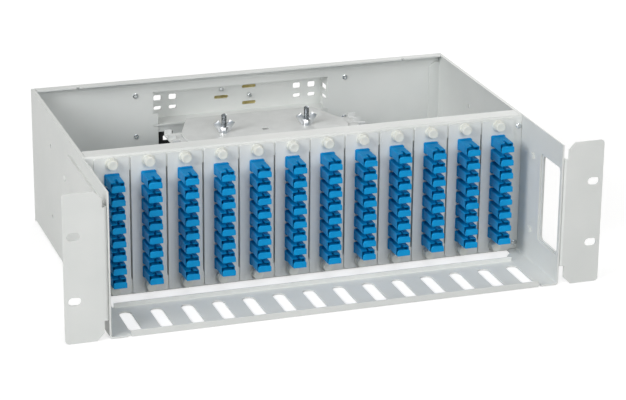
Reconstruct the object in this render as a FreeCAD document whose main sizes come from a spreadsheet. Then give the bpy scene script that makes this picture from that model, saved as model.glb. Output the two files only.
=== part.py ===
import FreeCAD, Part

import math
import os

import Sketcher

# Fibre patch panel, three rack units high, its top cover off.
# Millimetres. Origin: centre of the rack slots, on the front face of the ears.
# X runs to the right as seen from the front, Y to the rear, Z up.

doc = FreeCAD.newDocument("fibre_patch_panel")
sheet = doc.addObject("Spreadsheet::Sheet", "dims")

PLATES = 12
ADAPTERS = 8
TRAY_SLOTS = 14
ROUND_SIDES = 8
END_SIDES = 5
CORNER_SIDES = 3

SIZES = {
    # rack ears
    "rack_width": 482.6,
    "rack_height": 132.0,
    "rack_slot_inset": 8.8,
    "rack_slot_end": 37.425,
    "rack_slot_length": 11.0,
    "rack_slot_width": 7.0,
    "ear_reach": 37.8,
    "ear_thick": 2.0,
    "ear_bend": 1.0,
    "ear_corner": 3.0,
    "ear_shoulder": 4.5,
    "ear_chamfer": 6.5,
    "leg_margin": 16.0,
    "leg_rise": 1.4,
    "leg_depth": 165.0,
    "leg_chamfer": 27.0,
    "leg_window_front": 6.5,
    "leg_window_lap": 2.8,
    "leg_window_margin": 10.5,
    "bolt_neck": 3.0,
    "bolt_hole": 3.2,
    "bolt_front_gap": 16.0,
    "bolt_front_drop": 15.0,
    "bolt_rear_inset": 16.0,
    "bolt_rear_drop": 24.0,
    "bolt_head": 6.0,
    "bolt_head_thick": 1.8,
    "nut_wide": 5.2,
    "nut_thick": 2.0,
    # folded sheets
    "sheet_thick": 1.5,
    "bend_radius": 1.0,
    "lid_gap": 1.5,
    "box_depth": 203.5,
    "panel_setback": 88.0,
    "edge_lip": 3.2,
    "edge_clear": 0.3,
    "front_lap": 9.0,
    "rear_lap": 12.0,
    "lap_chamfer": 5.0,
    "lap_short": 6.0,
    "lap_drop": 8.0,
    "wall_hole": 4.0,
    "wall_hole_inset": 78.5,
    "wall_hole_rise": 34.0,
    # patch tray
    "tray_front": 0.5,
    "tray_joint": 0.8,
    "tray_window_front": 4.0,
    "tray_window_inset": 42.0,
    "tray_window_margin": 9.0,
    "window_corner": 4.0,
    "tray_slot_margin": 11.0,
    "tray_slot_front": 7.5,
    "tray_slot_rear": 10.0,
    "tray_slot_width": 11.0,
    "lip_setback": 26.0,
    "lip_height": 4.0,
    "lip_margin": 18.5,
    "lip_relief": 2.5,
    "tab_narrow": 17.5,
    "tab_wide": 11.0,
    "tab_setback": 13.0,
    "tab_slope": 8.0,
    # front frame and adapter plates
    "frame_clear": 0.2,
    "floor_clear": 0.1,
    "rail_depth": 16.0,
    "opening_margin": 13.0,
    "opening_lap": 12.7,
    "plate_margin": 9.1,
    "plate_gap": 1.5,
    "plate_inset": 2.05,
    "latch_top_inset": 5.2,
    "latch_foot_inset": 6.4,
    "latch_hole": 4.2,
    # couplers, caps and latches
    "adapter_width": 12.2,
    "adapter_height": 8.4,
    "adapter_front": 21.0,
    "adapter_rear": 12.0,
    "row_margin": 0.5,
    "seat_clear": 0.05,
    "port_width": 9.6,
    "port_height": 6.8,
    "port_depth": 10.0,
    "cap_width": 12.0,
    "cap_height": 5.6,
    "cap_length": 3.5,
    "cap_drop": 1.0,
    "plug_height": 4.6,
    "plug_length": 8.0,
    "plug_clear": 0.1,
    "knob_width": 9.8,
    "knob_length": 7.2,
    "stem_width": 3.8,
    "stem_length": 10.0,
    # rear wall and cable bracket
    "top_flange": 10.0,
    "notch_margin": 42.5,
    "notch_size": 3.0,
    "window_drop": 14.0,
    "window_upper": 21.5,
    "window_lower": 39.0,
    "window_width": 174.0,
    "window_ledge": 4.6,
    "pocket_depth": 20.0,
    "bracket_lap": 5.5,
    "bracket_tail": 2.0,
    "bracket_flange": 26.0,
    "shelf_drop": 12.5,
    "slit_clear": 0.3,
    "tie_outer_inset": 9.5,
    "tie_inner_inset": 24.5,
    "tie_upper_drop": 12.9,
    "tie_lower_drop": 23.0,
    "tie_width": 7.4,
    "tie_upper_height": 5.4,
    "tie_lower_height": 3.6,
    "side_tie_margin": 2.2,
    "clamp_span": 28.0,
    "clamp_high_drop": 9.5,
    "clamp_low_drop": 17.5,
    "clamp_slot_rise": 8.2,
    "clamp_slot_length": 14.0,
    "clamp_slot_height": 3.4,
    "clamp_width": 20.0,
    "clamp_height": 24.0,
    "clamp_thick": 4.0,
    "clamp_screw": 4.0,
    "clamp_hole": 4.5,
    "clamp_screw_head": 8.0,
    "clamp_head_thick": 3.0,
    "clamp_screw_end": 4.0,
    "inlet_inset": 12.0,
    "inlet_size": 14.0,
    "inlet_hole": 5.0,
    "grommet_lip": 2.0,
    # splice cassette
    "stud_span": 80.0,
    "stud_inset": 76.5,
    "stud_width": 5.0,
    "stud_hole": 5.6,
    "stud_spare": 18.0,
    "sleeve_width": 10.0,
    "sleeve_length": 80.5,
    "cassette_length": 158.0,
    "cassette_depth": 102.0,
    "cassette_taper": 17.0,
    "cassette_slope": 43.0,
    "cassette_height": 13.0,
    "cassette_wall": 1.8,
    "cassette_boss": 11.0,
    "ledge_length": 14.0,
    "ledge_width": 32.0,
    "ledge_root": 4.0,
    "ledge_thick": 2.0,
    "finger_width": 2.4,
    "finger_length": 7.0,
    "finger_rise": 4.0,
    "cover_thick": 1.5,
    "cover_slot_length": 5.5,
    "cover_slot_width": 5.0,
    "wing_hub_width": 9.6,
    "wing_hub_height": 6.0,
    "wing_span": 20.0,
    "wing_root": 2.0,
    "wing_rise": 12.0,
    "wing_thick": 2.2,
}

for row, (alias, number) in enumerate(SIZES.items(), start=1):
    sheet.set(f"A{row}", alias)
    sheet.set(f"B{row}", str(number))
    sheet.setAlias(f"B{row}", alias)
doc.recompute()


# Sizes that follow the sheet

class Size:
    """A length with its number now and the sheet expression that it follows."""

    def __init__(self, number, text):
        self.number = number
        self.text = text

    def __add__(self, other):
        other = as_size(other)
        return Size(self.number + other.number, f"({self.text} + {other.text})")

    def __radd__(self, other):
        return as_size(other) + self

    def __sub__(self, other):
        other = as_size(other)
        return Size(self.number - other.number, f"({self.text} - {other.text})")

    def __rsub__(self, other):
        return as_size(other) - self

    def __mul__(self, factor):
        return Size(self.number * factor, f"({self.text} * {factor})")

    def __rmul__(self, factor):
        return self * factor

    def __truediv__(self, factor):
        return Size(self.number / factor, f"({self.text} / {factor})")

    def __neg__(self):
        return Size(-self.number, f"(0 - {self.text})")


def as_size(value):
    return value if isinstance(value, Size) else Size(float(value), str(value))


class Dims:
    """The sheet's cells by name, as sizes."""

    def __getattr__(self, alias):
        return Size(float(sheet.get(alias)), f"dims.{alias}")


dims = Dims()


# Helpers for sketches and features

def place(item, x=0, y=0, z=0):
    for axis, size in zip("xyz", (x, y, z)):
        item.setExpression(f"Placement.Base.{axis}", as_size(size).text)


def new_body(label):
    return doc.addObject("PartDesign::Body", label)


def origin_feature(body, role):
    return next(item for item in body.Origin.OriginFeatures if item.Role == role)


def sketch(body, name, plane, at=0):
    """A sketch on the body's XY, XZ or YZ plane, moved along that plane's own axis."""
    drawing = body.newObject("Sketcher::SketchObject", name)
    drawing.AttachmentSupport = [(origin_feature(body, f"{plane}_Plane"), "")]
    drawing.MapMode = "FlatFace"
    shift = -as_size(at) if plane == "XZ" else as_size(at)
    drawing.setExpression("AttachmentOffset.Base.z", shift.text)
    return drawing


def bind(drawing, kind, target, size):
    size = as_size(size)
    index = drawing.addConstraint(Sketcher.Constraint(kind, *target, size.number))
    drawing.setExpression(f"Constraints[{index}]", size.text)


def pin(drawing, piece, spot, across, up):
    bind(drawing, "DistanceX", (-1, 1, piece, spot), across)
    bind(drawing, "DistanceY", (-1, 1, piece, spot), up)


def outline(drawing, corners):
    """A closed outline whose corners follow the sheet."""
    points = [FreeCAD.Vector(as_size(a).number, as_size(u).number, 0) for a, u in corners]
    ends = points[1:] + points[:1]
    lines = [drawing.addGeometry(Part.LineSegment(a, b)) for a, b in zip(points, ends)]
    for line, following in zip(lines, lines[1:] + lines[:1]):
        drawing.addConstraint(Sketcher.Constraint("Coincident", line, 2, following, 1))
    for line, (across, up) in zip(lines, corners):
        pin(drawing, line, 1, across, up)


def rectangle(drawing, across, up, width, height):
    """A rectangle about its centre."""
    left, right = across - width / 2, across + width / 2
    low, high = up - height / 2, up + height / 2
    outline(drawing, [(left, low), (right, low), (right, high), (left, high)])


def turned(width, angle):
    """The end of a spoke half as long as the width, at an angle in degrees."""
    across = round(math.cos(math.radians(angle)) / 2, 6)
    up = round(math.sin(math.radians(angle)) / 2, 6)
    return width * across, width * up


def soft_corner(across, up, radius, quarter):
    """A rounded corner drawn with a few flats about its centre, in one quarter of the turn."""
    angles = [90 * (quarter + number / CORNER_SIDES) for number in range(CORNER_SIDES + 1)]
    return [(across + x, up + y) for x, y in (turned(radius * 2, angle) for angle in angles)]


def soft_rectangle(drawing, across, up, width, height, radius):
    """A rectangle about its centre, each corner rounded with a few flats."""
    corners = []
    for quarter, (aside, along) in enumerate(((1, 1), (-1, 1), (-1, -1), (1, -1))):
        centre_across = across + (width / 2 - radius) * aside
        centre_up = up + (height / 2 - radius) * along
        corners += soft_corner(centre_across, centre_up, radius, quarter)
    outline(drawing, corners)


def circle(drawing, across, up, width):
    """A small round hole or shank, drawn with flats."""
    spokes = [turned(width, 360 * number / ROUND_SIDES) for number in range(ROUND_SIDES)]
    outline(drawing, [(across + x, up + y) for x, y in spokes])


def oblong(drawing, across, up, length, width):
    """An upright slot about its centre, with flats for its round ends."""
    reach = (length - width) / 2
    corners = []
    for way, start in ((1, 0), (-1, 180)):
        for number in range(END_SIDES + 1):
            step = turned(width, start + 180 * number / END_SIDES)
            corners.append((across + step[0], up + reach * way + step[1]))
    outline(drawing, corners)


def round_slot(drawing, across, up, length, width):
    """A slot running across, with true round ends."""
    arcs = []
    for way in (1, -1):
        centre = across + (length - width) / 2 * way
        spot = FreeCAD.Vector(centre.number, up.number, 0)
        start = -way * math.pi / 2
        ring = Part.Circle(spot, FreeCAD.Vector(0, 0, 1), width.number / 2)
        arc = drawing.addGeometry(Part.ArcOfCircle(ring, start, start + math.pi))
        pin(drawing, arc, 3, centre, up)
        bind(drawing, "Radius", (arc,), width / 2)
        for end in (1, 2):
            drawing.addConstraint(Sketcher.Constraint("Vertical", arc, end, arc, 3))
        arcs.append(arc)
    for first, second in (arcs, arcs[::-1]):
        ends = drawing.getPoint(first, 2), drawing.getPoint(second, 1)
        line = drawing.addGeometry(Part.LineSegment(*ends))
        drawing.addConstraint(Sketcher.Constraint("Coincident", first, 2, line, 1))
        drawing.addConstraint(Sketcher.Constraint("Coincident", line, 2, second, 1))


def on_front(drawing):
    return drawing.AttachmentSupport[0][0].Role == "XZ_Plane"


def pad(body, drawing, length):
    """Grow a sketch along +X, +Y or +Z."""
    feature = body.newObject("PartDesign::Pad", drawing.Name + "_pad")
    feature.Profile = drawing
    feature.setExpression("Length", as_size(length).text)
    feature.Reversed = on_front(drawing)
    doc.recompute()
    return feature


def pocket(body, drawing, depth):
    """Cut a sketch along +X, +Y or +Z."""
    before = body.Shape.Volume
    feature = body.newObject("PartDesign::Pocket", drawing.Name + "_pocket")
    feature.Profile = drawing
    feature.setExpression("Length", as_size(depth).text)
    feature.Reversed = not on_front(drawing)
    doc.recompute()
    if not body.Shape.Volume < before:
        raise ValueError(f"{feature.Name} cuts nothing")
    return feature


def row(body, feature, axis, pitch, count):
    """Repeat a feature along an axis of the body."""
    pattern = body.newObject("PartDesign::LinearPattern", feature.Name + "_row")
    pattern.Originals = [feature]
    pattern.Direction = (origin_feature(body, f"{axis}_Axis"), [""])
    pattern.Occurrences = count
    pattern.setExpression("Length", (pitch * (count - 1)).text)
    body.Tip = pattern
    doc.recompute()
    return pattern


def edges_along(shape, axis, spots):
    """Names of the straight edges along an axis that stand at given spots on the other two."""
    names = []
    others = [other for other in "xyz" if other != axis]
    for number, edge in enumerate(shape.Edges, start=1):
        ends = [vertex.Point for vertex in edge.Vertexes]
        if len(ends) != 2 or any(abs(getattr(ends[0] - ends[1], other)) > 1e-6 for other in others):
            continue
        for spot in spots:
            away = [getattr(ends[0], other) - as_size(size).number for other, size in zip(others, spot)]
            if max(abs(away[0]), abs(away[1])) < 1e-4:
                names.append(f"Edge{number}")
    return names


def round_edges(body, axis, spots, radius):
    base = body.Tip
    feature = body.newObject("PartDesign::Fillet", f"{body.Name}_round")
    feature.Base = (base, edges_along(base.Shape, axis, spots))
    feature.setExpression("Radius", radius.text)
    doc.recompute()


def copy_at(label, form, x=0, y=0, z=0):
    """One piece of a repeated form, at its own place."""
    piece = doc.addObject("Part::Feature", label)
    piece.Shape = form.Shape.copy()
    place(piece, x, y, z)
    return piece


def group_at(label, form, places):
    """Separate solids of one form, shared by one node."""
    solids = []
    for spot in places:
        solid = form.Shape.copy()
        solid.translate(FreeCAD.Vector(*(as_size(size).number for size in spot)))
        solids.append(solid)
    group = doc.addObject("Part::Feature", label)
    group.Shape = Part.makeCompound(solids)
    return group


# Places shared by several pieces

half_height = dims.rack_height / 2
box_width = dims.rack_width - 2 * dims.ear_reach
side = box_width / 2
inside = side - dims.sheet_thick
lip_edge = side - dims.edge_lip
floor = -half_height
floor_top = floor + dims.sheet_thick
box_top = half_height - dims.lid_gap
frame_front = dims.panel_setback + dims.sheet_thick
box_front = frame_front + dims.sheet_thick
box_rear = box_front + dims.box_depth
wall_rear = box_rear + dims.sheet_thick

leg_half = half_height - dims.leg_margin
leg_top = dims.leg_rise + leg_half
leg_foot = dims.leg_rise - leg_half
tray_window_rear = dims.panel_setback - dims.tray_window_inset
bolt_front = tray_window_rear + dims.bolt_front_gap
bolt_rear = dims.leg_depth - dims.bolt_rear_inset
bolts_front = [(bolt_front, (leg_half - dims.bolt_front_drop) * way) for way in (1, -1)]
bolts_rear = [(bolt_rear, (leg_half - dims.bolt_rear_drop) * way) for way in (1, -1)]

plate_mid = (box_top + floor) / 2
plate_height = box_top - floor - 2 * dims.plate_inset
plate_pitch = (box_width - 2 * dims.plate_margin) / PLATES
plate_xs = [plate_pitch * (number - (PLATES - 1) / 2) for number in range(PLATES)]
opening_height = plate_height - 2 * dims.opening_lap
adapter_pitch = (opening_height - 2 * dims.row_margin) / ADAPTERS
adapter_zs = [adapter_pitch * (number - (ADAPTERS - 1) / 2) for number in range(ADAPTERS)]
latch_zs = {
    "upper": plate_height / 2 - dims.latch_top_inset,
    "lower": dims.latch_foot_inset - plate_height / 2,
}


def channel(body, name, start, length, lip):
    """A floor with two upright walls, folded from one sheet, with or without a lip turned in on top."""
    right = [(side, floor), (side, box_top)]
    if lip:
        right += [
            (lip_edge, box_top),
            (lip_edge, box_top - dims.sheet_thick),
            (inside, box_top - dims.sheet_thick),
        ]
    else:
        right += [(inside, box_top)]
    right += [(inside, floor_top)]
    left = [(-across, up) for across, up in reversed(right)]
    drawing = sketch(body, name, "XZ", start)
    outline(drawing, right + left)
    pad(body, drawing, length)
    round_edges(body, "y", [(inside, floor_top), (-inside, floor_top)], dims.bend_radius)
    round_edges(body, "y", [(side, floor), (-side, floor)], dims.bend_radius + dims.sheet_thick)


# Box body: floor, side walls with lips along their tops, and laps turned in at both ends

box = new_body("box_body")
channel(box, "box_channel", box_front, dims.box_depth, lip=True)
lap_top = box_top - dims.lap_drop
front_laps = sketch(box, "front_laps", "XZ", box_front)
rear_laps = sketch(box, "rear_laps", "XZ", box_rear - dims.sheet_thick)
for way in (1, -1):
    for laps, reach in ((front_laps, dims.front_lap), (rear_laps, dims.rear_lap)):
        outline(laps, [
            (inside * way, floor + dims.lap_short),
            ((side - reach) * way, floor + dims.lap_short),
            ((side - reach) * way, lap_top - dims.lap_chamfer),
            ((side - reach + dims.lap_chamfer) * way, lap_top),
            (inside * way, lap_top),
        ])
for laps in (front_laps, rear_laps):
    pad(box, laps, dims.sheet_thick)
box_bolts = sketch(box, "box_bolt_holes", "YZ", -side)
for depth, up in bolts_rear:
    rectangle(box_bolts, depth, up, dims.bolt_hole, dims.bolt_hole)
pocket(box, box_bolts, box_width)
wall_holes = sketch(box, "box_wall_holes", "YZ", -side)
for way in (1, -1):
    circle(wall_holes, box_rear - dims.wall_hole_inset, dims.wall_hole_rise * way, dims.wall_hole)
pocket(box, wall_holes, box_width)


# Patch tray: slotted shelf with lips, and cheeks with cord windows

tray = new_body("patch_tray")
tray_rear = box_front - dims.tray_joint
channel(tray, "tray_channel", dims.tray_front, tray_rear - dims.tray_front, lip=False)
tray_window_front = dims.tray_front + dims.tray_window_front
windows = sketch(tray, "tray_windows", "YZ", -side)
soft_rectangle(
    windows, (tray_window_front + tray_window_rear) / 2, dims.leg_rise, tray_window_rear - tray_window_front,
    2 * (leg_half - dims.tray_window_margin), dims.window_corner,
)
pocket(tray, windows, box_width)
tray_bolts = sketch(tray, "tray_bolt_holes", "YZ", -side)
for depth, up in bolts_front:
    rectangle(tray_bolts, depth, up, dims.bolt_hole, dims.bolt_hole)
pocket(tray, tray_bolts, box_width)
rear_lip = dims.panel_setback - dims.lip_setback
tab_step = dims.panel_setback - dims.tab_setback
narrow, wide = side - dims.tab_narrow, side - dims.tab_wide
gap_right = [
    (narrow, rear_lip + dims.sheet_thick),
    (narrow, tab_step),
    (wide, tab_step + dims.tab_slope),
    (wide, tray_rear),
]
gap = sketch(tray, "tray_gap", "XY", floor)
outline(gap, gap_right + [(-across, depth) for across, depth in reversed(gap_right)])
pocket(tray, gap, dims.sheet_thick)
slot_pitch = (box_width - 2 * dims.tray_slot_margin) / TRAY_SLOTS
slot_front = dims.tray_front + dims.tray_slot_front
slot_rear = rear_lip - dims.tray_slot_rear
slot = sketch(tray, "tray_slot", "XY", floor)
oblong(
    slot, -slot_pitch * ((TRAY_SLOTS - 1) / 2), (slot_front + slot_rear) / 2,
    slot_rear - slot_front, dims.tray_slot_width,
)
row(tray, pocket(tray, slot, dims.sheet_thick), "X", slot_pitch, TRAY_SLOTS)
lip_end = side - dims.lip_margin
reliefs = sketch(tray, "lip_reliefs", "XY", floor)
for way in (1, -1):
    rectangle(
        reliefs, (lip_end + dims.lip_relief / 2) * way, dims.tray_front + dims.lip_relief / 2,
        dims.lip_relief, dims.lip_relief,
    )
pocket(tray, reliefs, dims.sheet_thick)
lips = sketch(tray, "tray_lips", "XY", floor_top)
for lip_front in (dims.tray_front, rear_lip):
    rectangle(lips, 0, lip_front + dims.sheet_thick / 2, 2 * lip_end, dims.sheet_thick)
pad(tray, lips, dims.lip_height)


# Rack ears: angle brackets with a long leg outside the cheek and the box

def rack_ear(label, way):
    ear = new_body(label)
    edge = dims.rack_width / 2
    shoulder = side + dims.ear_shoulder
    round_at = edge - dims.ear_corner
    round_up = half_height - dims.ear_corner
    corners = [
        (side, leg_foot),
        (shoulder, leg_foot),
        (shoulder, dims.ear_chamfer - half_height),
        (shoulder + dims.ear_chamfer, -half_height),
        *soft_corner(round_at, -round_up, dims.ear_corner, 3),
        *soft_corner(round_at, round_up, dims.ear_corner, 0),
        (shoulder + dims.ear_chamfer, half_height),
        (shoulder, half_height - dims.ear_chamfer),
        (shoulder, leg_top),
        (side, leg_top),
    ]
    face = sketch(ear, label + "_face", "XZ")
    outline(face, [(across * way, up) for across, up in corners])
    pad(ear, face, dims.ear_thick)
    start = side if way > 0 else -side - dims.ear_thick
    blade = sketch(ear, label + "_leg", "YZ", start)
    outline(blade, [
        (dims.ear_thick, leg_foot),
        (dims.leg_depth - dims.leg_chamfer, leg_foot),
        (dims.leg_depth, leg_foot + dims.leg_chamfer),
        (dims.leg_depth, leg_top - dims.leg_chamfer),
        (dims.leg_depth - dims.leg_chamfer, leg_top),
        (dims.ear_thick, leg_top),
    ])
    pad(ear, blade, dims.ear_thick)
    view_front = dims.leg_window_front
    view_rear = tray_window_rear - dims.leg_window_lap
    view = sketch(ear, label + "_window", "YZ", start)
    soft_rectangle(
        view, (view_front + view_rear) / 2, dims.leg_rise, view_rear - view_front,
        2 * (leg_half - dims.leg_window_margin), dims.window_corner,
    )
    pocket(ear, view, dims.ear_thick)
    necks = sketch(ear, label + "_bolt_holes", "YZ", start)
    for depth, up in bolts_front + bolts_rear:
        rectangle(necks, depth, up, dims.bolt_hole, dims.bolt_hole)
    pocket(ear, necks, dims.ear_thick)
    slots = sketch(ear, label + "_rack_slots", "XZ")
    for up in (1, -1):
        round_slot(
            slots, (edge - dims.rack_slot_inset) * way, (half_height - dims.rack_slot_end) * up,
            dims.rack_slot_length, dims.rack_slot_width,
        )
    pocket(ear, slots, dims.ear_thick)
    round_edges(ear, "z", [((side + dims.ear_thick) * way, dims.ear_thick)], dims.ear_bend)
    round_edges(ear, "z", [(side * way, 0)], dims.ear_bend + dims.ear_thick)
    return ear


ears = [rack_ear("ear_left", -1), rack_ear("ear_right", 1)]


# Ear bolts with square necks, and blind square nuts inside the sheet

def ear_bolt(label, way):
    bolt = new_body(label)
    neck_length = dims.ear_thick + dims.sheet_thick
    neck = sketch(bolt, label + "_neck", "YZ", -neck_length if way > 0 else 0)
    rectangle(neck, 0, 0, dims.bolt_neck, dims.bolt_neck)
    pad(bolt, neck, neck_length)
    head = sketch(bolt, label + "_head", "YZ", 0 if way > 0 else -dims.bolt_head_thick)
    circle(head, 0, 0, dims.bolt_head)
    pad(bolt, head, dims.bolt_head_thick)
    return bolt


nut_form = new_body("square_nut")
nut_face = sketch(nut_form, "square_nut_face", "YZ")
rectangle(nut_face, 0, 0, dims.nut_wide, dims.nut_wide)
pad(nut_form, nut_face, dims.nut_thick)
ear_outside = side + dims.ear_thick
bolt_groups = []
nut_spots = []
for label, way in (("ear_bolts_left", -1), ("ear_bolts_right", 1)):
    form = ear_bolt(label + "_form", way)
    spots = [(ear_outside * way, depth, up) for depth, up in bolts_front + bolts_rear]
    bolt_groups.append(group_at(label, form, spots))
    nut_start = -inside if way < 0 else inside - dims.nut_thick
    nut_spots += [(nut_start, depth, up) for depth, up in bolts_front + bolts_rear]
ear_nuts = group_at("ear_nuts", nut_form, nut_spots)


# Front frame: top rail, posts and foot, folded round one large opening

frame = new_body("front_frame")
frame_half = inside - dims.frame_clear
frame_foot = floor_top + dims.floor_clear
rail_rear = frame_front + dims.rail_depth
profile = sketch(frame, "frame_profile", "YZ", -frame_half)
outline(profile, [
    (frame_front, frame_foot),
    (rail_rear, frame_foot),
    (rail_rear, frame_foot + dims.sheet_thick),
    (box_front, frame_foot + dims.sheet_thick),
    (box_front, box_top - dims.sheet_thick),
    (rail_rear, box_top - dims.sheet_thick),
    (rail_rear, box_top),
    (frame_front, box_top),
])
pad(frame, profile, 2 * frame_half)
outer_bend = dims.bend_radius + dims.sheet_thick / 2
round_edges(frame, "x", [(frame_front, box_top), (frame_front, frame_foot)], outer_bend)
rail_end = lip_edge - dims.edge_clear
corner_cuts = sketch(frame, "frame_corner_cuts", "XY", floor)
for way in (1, -1):
    rectangle(
        corner_cuts, (frame_half + rail_end) / 2 * way, (box_front + rail_rear) / 2,
        frame_half - rail_end, rail_rear - box_front,
    )
pocket(frame, corner_cuts, box_top - floor)
opening = sketch(frame, "frame_opening", "XZ", frame_front)
rectangle(opening, 0, plate_mid, box_width - 2 * dims.opening_margin, opening_height)
pocket(frame, opening, dims.sheet_thick)
latch_holes = sketch(frame, "frame_latch_holes", "XZ", frame_front)
for up in latch_zs.values():
    rectangle(latch_holes, plate_xs[0], plate_mid + up, dims.latch_hole, dims.latch_hole)
row(frame, pocket(frame, latch_holes, dims.sheet_thick), "X", plate_pitch, PLATES)


# Adapter plates, each with a column of cut-outs and a latch hole at both ends

plate_form = new_body("adapter_plate")
plate_face = sketch(plate_form, "plate_face", "XZ")
rectangle(plate_face, 0, 0, plate_pitch - dims.plate_gap, plate_height)
pad(plate_form, plate_face, dims.sheet_thick)
plate_latches = sketch(plate_form, "plate_latch_holes", "XZ")
for up in latch_zs.values():
    rectangle(plate_latches, 0, up, dims.latch_hole, dims.latch_hole)
pocket(plate_form, plate_latches, dims.sheet_thick)
seat = sketch(plate_form, "adapter_seat", "XZ")
rectangle(
    seat, 0, adapter_zs[0],
    dims.adapter_width + 2 * dims.seat_clear, dims.adapter_height + 2 * dims.seat_clear,
)
row(plate_form, pocket(plate_form, seat, dims.sheet_thick), "Z", adapter_pitch, ADAPTERS)
plates = [
    copy_at(f"adapter_plate_{number:02d}", plate_form, x, dims.panel_setback, plate_mid)
    for number, x in enumerate(plate_xs, start=1)
]


# Couplers: sleeves through the plates, each with a port at the front

adapter_form = new_body("sc_adapter")
sleeve = sketch(adapter_form, "adapter_sleeve", "XZ", -dims.adapter_front)
rectangle(sleeve, 0, 0, dims.adapter_width, dims.adapter_height)
pad(adapter_form, sleeve, dims.adapter_front + dims.sheet_thick + dims.adapter_rear)
port = sketch(adapter_form, "adapter_port", "XZ", -dims.adapter_front)
rectangle(port, 0, 0, dims.port_width, dims.port_height)
pocket(adapter_form, port, dims.port_depth)
adapter_spots = [(x, dims.panel_setback, plate_mid + z) for x in plate_xs for z in adapter_zs]
adapters = group_at("sc_adapters", adapter_form, adapter_spots)


# Dust caps: a wide head, and a plug that leaves the top of the port open

cap_form = new_body("dust_cap")
cap_head = sketch(cap_form, "cap_head", "XZ", -dims.adapter_front - dims.cap_length)
rectangle(cap_head, 0, -dims.cap_drop, dims.cap_width, dims.cap_height)
pad(cap_form, cap_head, dims.cap_length)
cap_plug = sketch(cap_form, "cap_plug", "XZ", -dims.adapter_front)
plug_centre = dims.plug_height / 2 + dims.plug_clear - dims.port_height / 2
rectangle(cap_plug, 0, plug_centre, dims.port_width - 2 * dims.plug_clear, dims.plug_height)
pad(cap_form, cap_plug, dims.plug_length)
caps = group_at("dust_caps", cap_form, adapter_spots)


# Latch plungers: round pull knobs on square stems

plunger_form = new_body("latch_plunger")
knob = sketch(plunger_form, "plunger_knob", "XZ", -dims.knob_length)
circle(knob, 0, 0, dims.knob_width)
pad(plunger_form, knob, dims.knob_length)
stem = sketch(plunger_form, "plunger_stem", "XZ")
rectangle(stem, 0, 0, dims.stem_width, dims.stem_width)
pad(plunger_form, stem, dims.stem_length)
plungers = [
    copy_at(f"latch_{end}_{number:02d}", plunger_form, x, dims.panel_setback, plate_mid + up)
    for number, x in enumerate(plate_xs, start=1)
    for end, up in latch_zs.items()
]


# Rear wall: a plate with a flange turned in at its top, and a stepped cable window

rear = new_body("rear_wall")
flange_front = wall_rear - dims.top_flange
rear_profile = sketch(rear, "rear_profile", "YZ", -side)
outline(rear_profile, [
    (wall_rear, floor),
    (wall_rear, box_top),
    (flange_front, box_top),
    (flange_front, box_top - dims.sheet_thick),
    (box_rear, box_top - dims.sheet_thick),
    (box_rear, floor),
])
pad(rear, rear_profile, box_width)
round_edges(rear, "x", [(wall_rear, box_top)], outer_bend)
flange_cuts = sketch(rear, "flange_cuts", "XY", floor)
for way in (1, -1):
    rectangle(
        flange_cuts, (side + rail_end) / 2 * way, (flange_front + box_rear) / 2,
        side - rail_end, box_rear - flange_front,
    )
    rectangle(
        flange_cuts, (side - dims.notch_margin) * way, flange_front + dims.notch_size / 2,
        dims.notch_size, dims.notch_size,
    )
pocket(rear, flange_cuts, box_top - floor)
window_top = box_top - dims.window_drop
window_step = window_top - dims.window_upper
window_foot = window_step - dims.window_lower
broad = dims.window_width / 2
slim = broad - dims.window_ledge
shelf_at = window_step - dims.shelf_drop
slit_low = shelf_at - dims.slit_clear
slit_high = shelf_at + dims.sheet_thick + dims.slit_clear
window_right = [
    (slim, window_foot),
    (slim, slit_low),
    (broad, slit_low),
    (broad, slit_high),
    (slim, slit_high),
    (slim, window_step),
    (broad, window_step),
    (broad, window_top),
]
cable_window = sketch(rear, "rear_window", "XZ", box_rear)
outline(cable_window, window_right + [(-across, up) for across, up in reversed(window_right)])
pocket(rear, cable_window, dims.sheet_thick)


# Cable bracket behind the window: pocket, shelf, and a flap with two cable inlets

bracket = new_body("cable_bracket")
pocket_rear = wall_rear + dims.pocket_depth
pocket_side = broad + dims.sheet_thick
bracket_foot = window_foot - dims.bracket_tail
bracket_height = window_top + dims.bracket_lap - bracket_foot
hat_right = [
    (pocket_side + dims.bracket_flange, wall_rear),
    (pocket_side + dims.bracket_flange, wall_rear + dims.sheet_thick),
    (pocket_side, wall_rear + dims.sheet_thick),
    (pocket_side, pocket_rear + dims.sheet_thick),
]
hat_inner = [(broad, pocket_rear), (broad, wall_rear)]
hat = sketch(bracket, "bracket_hat", "XY", bracket_foot)
outline(
    hat,
    hat_right
    + [(-across, depth) for across, depth in reversed(hat_right)]
    + [(-across, depth) for across, depth in reversed(hat_inner)]
    + hat_inner,
)
pad(bracket, hat, bracket_height)
flap_height = shelf_at - bracket_foot
flap_centre = (bracket_foot + shelf_at) / 2
below = sketch(bracket, "bracket_below", "XZ", pocket_rear)
rectangle(below, 0, flap_centre, dims.window_width, flap_height)
pocket(bracket, below, dims.sheet_thick)
shelf_half = broad - dims.slit_clear
shelf_right = [(shelf_half, box_rear), (shelf_half, wall_rear), (broad, wall_rear), (broad, pocket_rear)]
shelf = sketch(bracket, "bracket_shelf", "XY", shelf_at)
outline(shelf, shelf_right + [(-across, depth) for across, depth in reversed(shelf_right)])
pad(bracket, shelf, dims.sheet_thick)
flap = sketch(bracket, "bracket_flap", "XZ", wall_rear)
rectangle(flap, 0, flap_centre, dims.window_width, flap_height)
pad(bracket, flap, dims.sheet_thick)
inlet_at = (window_foot + shelf_at) / 2
inlet_x = broad - dims.inlet_inset
inlets = sketch(bracket, "bracket_inlets", "XZ", wall_rear)
for way in (1, -1):
    rectangle(inlets, inlet_x * way, inlet_at, dims.inlet_size, dims.inlet_size)
pocket(bracket, inlets, dims.sheet_thick)
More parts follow.
